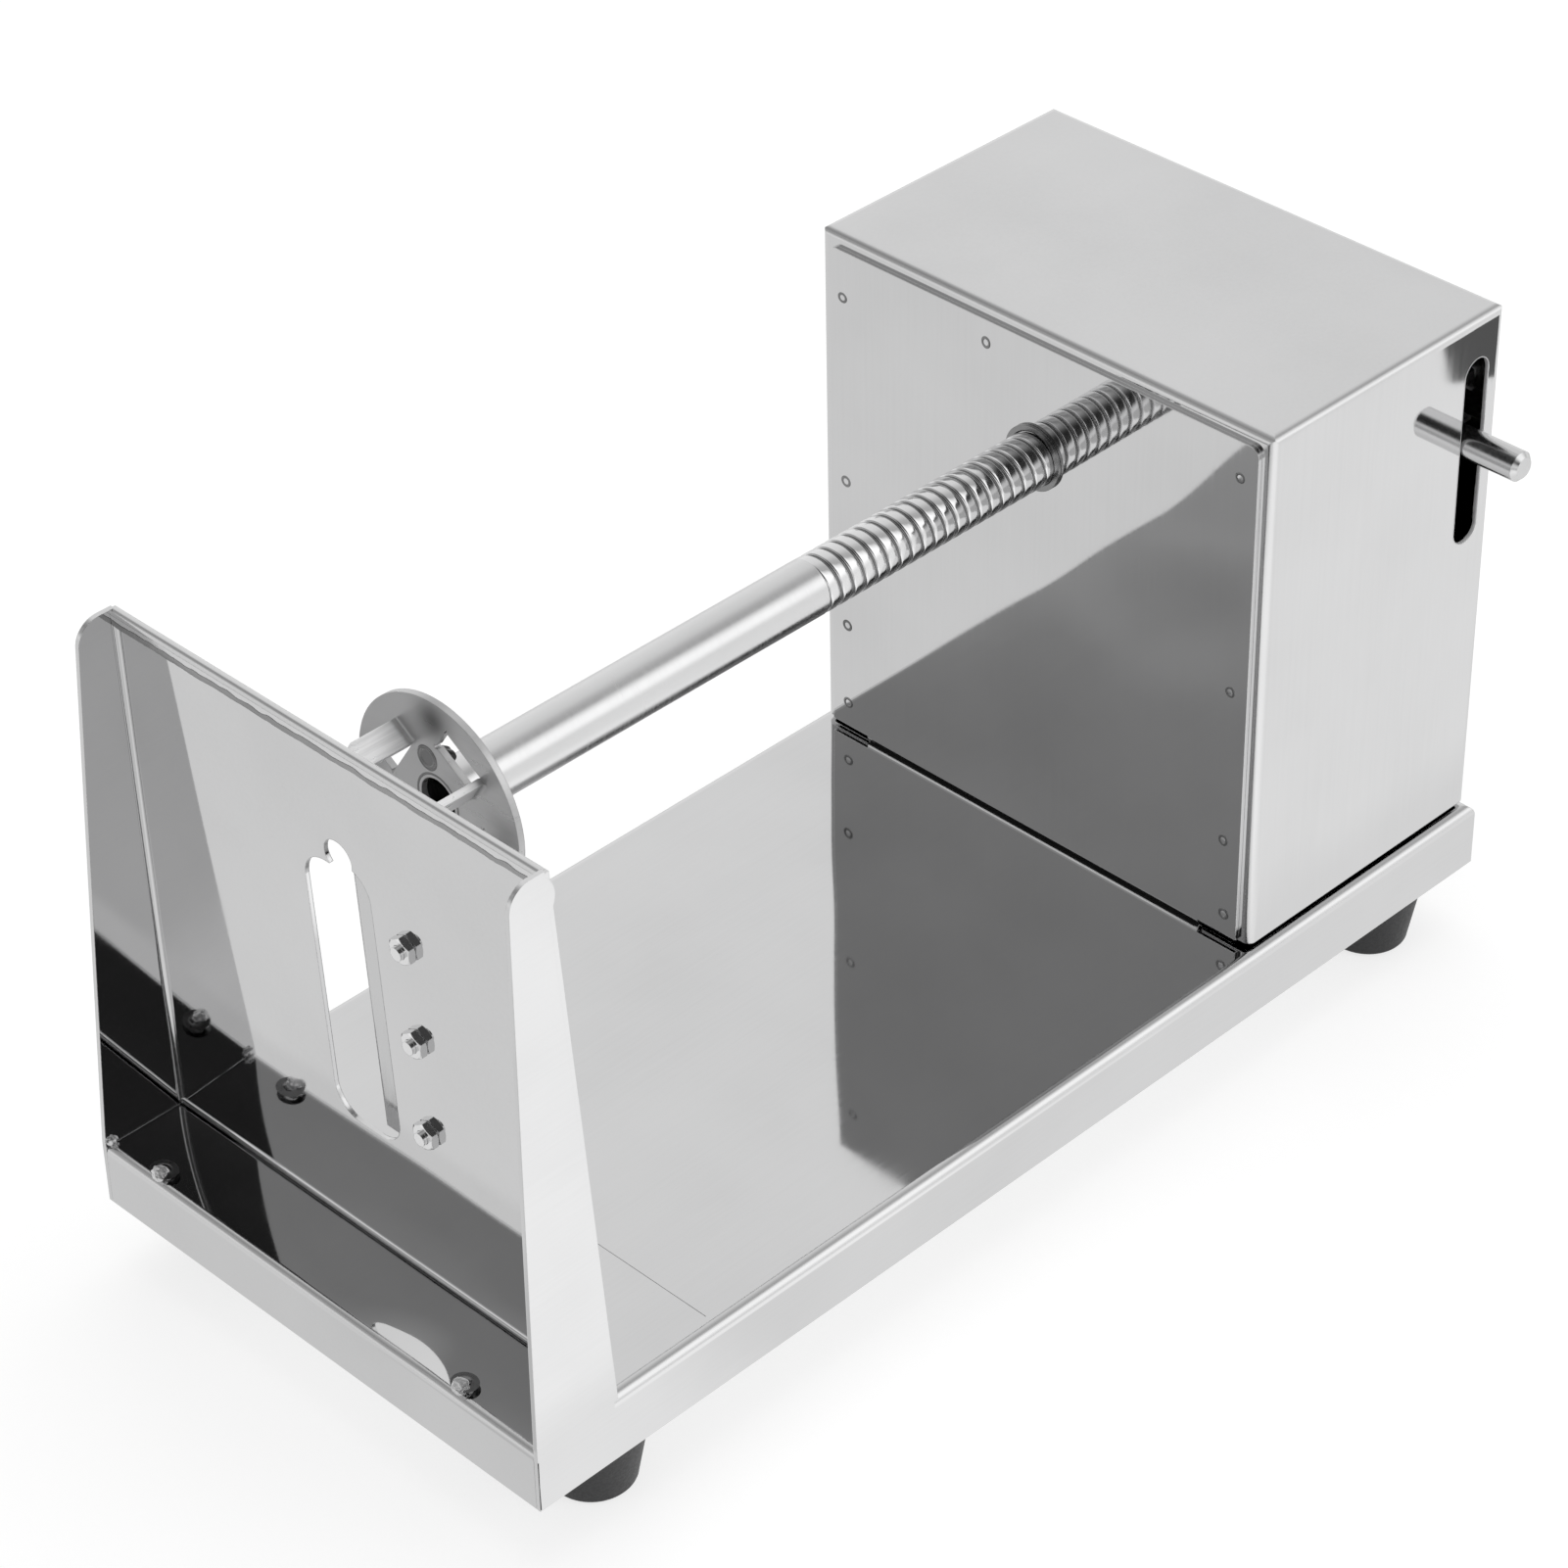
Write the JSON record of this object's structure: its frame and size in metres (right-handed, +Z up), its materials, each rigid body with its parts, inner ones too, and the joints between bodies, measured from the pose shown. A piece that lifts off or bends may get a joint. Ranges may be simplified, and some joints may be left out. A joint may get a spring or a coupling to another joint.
{
  "type": "hand cranked spiral potato cutter",
  "caption": "Tabletop cutter that turns a potato on a skewer shaft against a fixed blade: folded steel base and housing, screw shaft with clawed disc and crank, and a sprung release lever.",
  "frame": {"origin": "middle of the four rubber feet, at the level of the table", "axes": "+X along the shaft, from the blade end to the crank; +Z up; the release pin is on the -Y side"},
  "size_m": [0.3623, 0.1414, 0.159],
  "materials": {
    "polished_sheet": "bright polished stainless sheet",
    "turned_steel": "fine brushed stainless",
    "plain_steel": "mill finish",
    "plated_screws": "bright plated",
    "black_plastic": "satin",
    "black_rubber": "matt",
    "spring_steel": "drawn wire"
  },
  "bodies": {
    "base": {"base_frame": "polished_sheet", "front_tray": "polished_sheet", "foot_bracket_front_left": "plain_steel", "foot_bracket_front_right": "plain_steel", "foot_bracket_rear_left": "plain_steel", "foot_bracket_rear_right": "plain_steel", "foot_front_left": "black_rubber", "foot_front_right": "black_rubber", "foot_rear_left": "black_rubber", "foot_rear_right": "black_rubber", "foot_screws": "plated_screws", "foot_nuts": "plated_screws", "blade": "plain_steel", "blade_screws": "plated_screws", "blade_nuts": "plated_screws", "housing_cover": "polished_sheet", "housing_front_panel": "polished_sheet", "housing_rear_panel": "polished_sheet", "housing_screws": "plated_screws", "housing_nuts": "plated_screws", "release_spring": "spring_steel", "lever_pivot_screw": "plated_screws", "pivot_spacer": "plain_steel", "pivot_nut": "plated_screws", "spring_anchor_screw": "plated_screws", "spring_anchor_nut": "plated_screws"},
    "bushes": {"front_bush": "turned_steel", "rear_bush": "turned_steel"},
    "shaft": {"screw_shaft": "turned_steel", "claw_disc": "turned_steel", "crank_arm": "turned_steel", "handle_bolt": "plated_screws", "handle_nut": "plated_screws"},
    "grip": {"handle_grip": "black_plastic"},
    "lever": {"release_lever": "plain_steel", "release_pin": "plated_screws", "half_nut": "plain_steel", "half_nut_screws": "plated_screws", "spring_post": "plated_screws"}
  },
  "joints": [
    {"name": "shaft_spin", "type": "hinge", "parent": "base", "child": "bushes", "pos_m": [0.1, 0, 0.1286], "axis": [1, 0, 0], "range_deg": [0, 12600]},
    {"name": "shaft_feed", "type": "slide", "parent": "bushes", "child": "shaft", "axis": [1, 0, 0], "range_m": [0, 0.1173]},
    {"name": "grip_spin", "type": "hinge", "parent": "shaft", "child": "grip", "pos_m": [0.184, 0.00453, 0.0768], "axis": [1, 0, 0], "continuous": true},
    {"name": "lever_release", "type": "hinge", "parent": "base", "child": "lever", "pos_m": [0.1293, 0.0387, 0.138], "axis": [1, 0, 0], "range_deg": [-9.5, 0], "stiffness_Nm_per_rad": 1.6, "springref_deg": 11.46, "deforming": ["release_spring"]}
  ],
  "couplings": [
    {"joint": "shaft_feed", "follows": "shaft_spin", "m_per_rad": 0.00053317}
  ]
}
